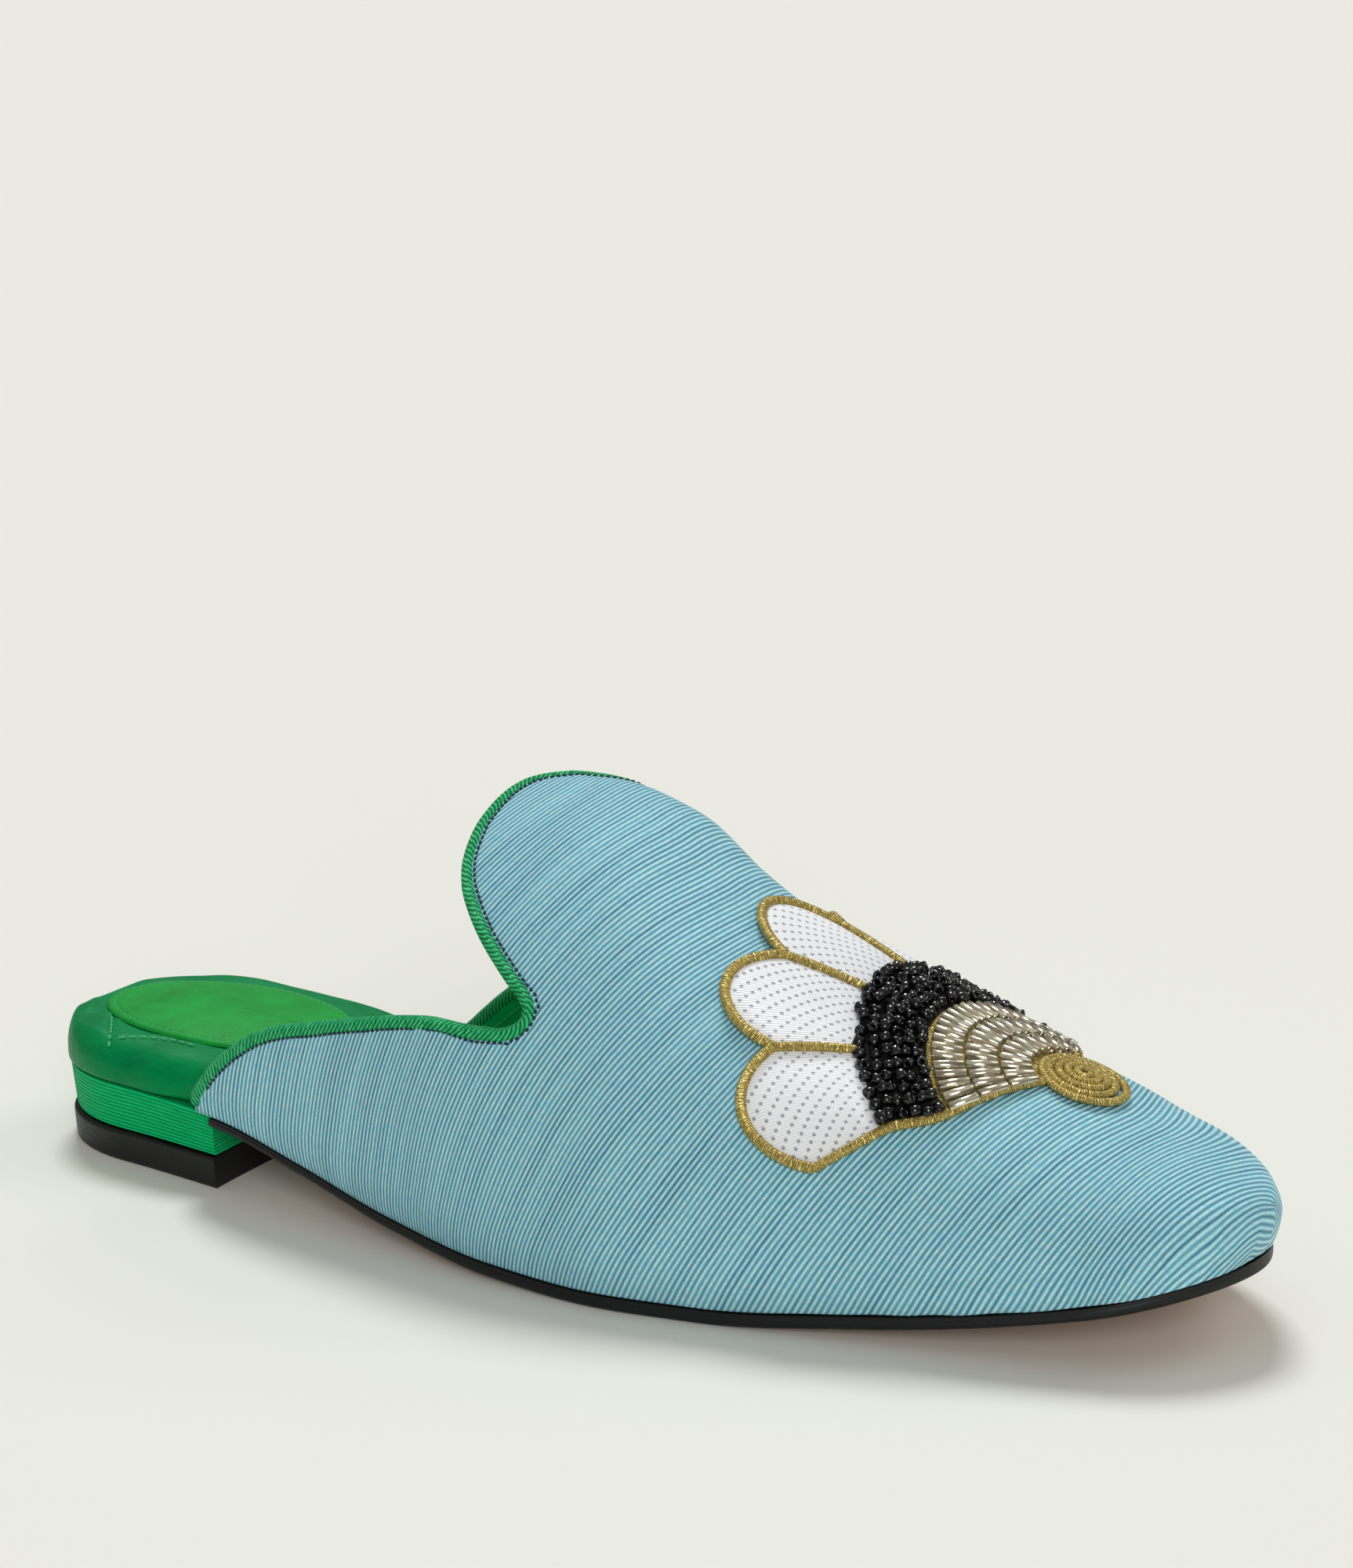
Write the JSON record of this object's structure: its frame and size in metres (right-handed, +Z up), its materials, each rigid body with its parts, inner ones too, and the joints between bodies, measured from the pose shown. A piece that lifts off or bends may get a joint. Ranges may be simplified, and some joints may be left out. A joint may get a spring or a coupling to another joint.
{
  "type": "babouche slipper",
  "caption": "Backless right slipper: pointed ribbed vamp with rounded tongue, rolled binding, wrapped footbed, low stacked heel and a beaded fan on the vamp.",
  "frame": {"origin": "middle of the underside of the bounding box, on the floor", "axes": "+X towards the toe, +Y towards the inner (medial) side of this right shoe, +Z up"},
  "size_m": [0.2628, 0.0844, 0.0836],
  "materials": {
    "black_rubber": "matt",
    "heel_cover": "fine horizontal ribs, slight sheen",
    "sole_leather": "black painted edge, tan underside",
    "green_satin": "satin, lightly wrinkled at the edge",
    "pad_leather": "semi-gloss",
    "ribbed_cloth": "crosswise ribs with a silk sheen",
    "green_cord": "diagonal ribs",
    "gold_thread": "metallic thread",
    "clear_bugles": "silver-lined glass tubes",
    "black_beads": "glossy cut glass",
    "white_thread": "satin stitch"
  },
  "bodies": {
    "root": {"heel_top_piece": "black_rubber", "heel_block": "heel_cover", "outsole": "sole_leather", "footbed": "green_satin", "heel_pad": "pad_leather", "upper": "ribbed_cloth", "topline_binding": "green_cord", "fan_eye": "gold_thread", "fan_bugle_band": "clear_bugles", "fan_bead_band": "black_beads", "fan_petals": "white_thread"}
  },
  "joints": []
}
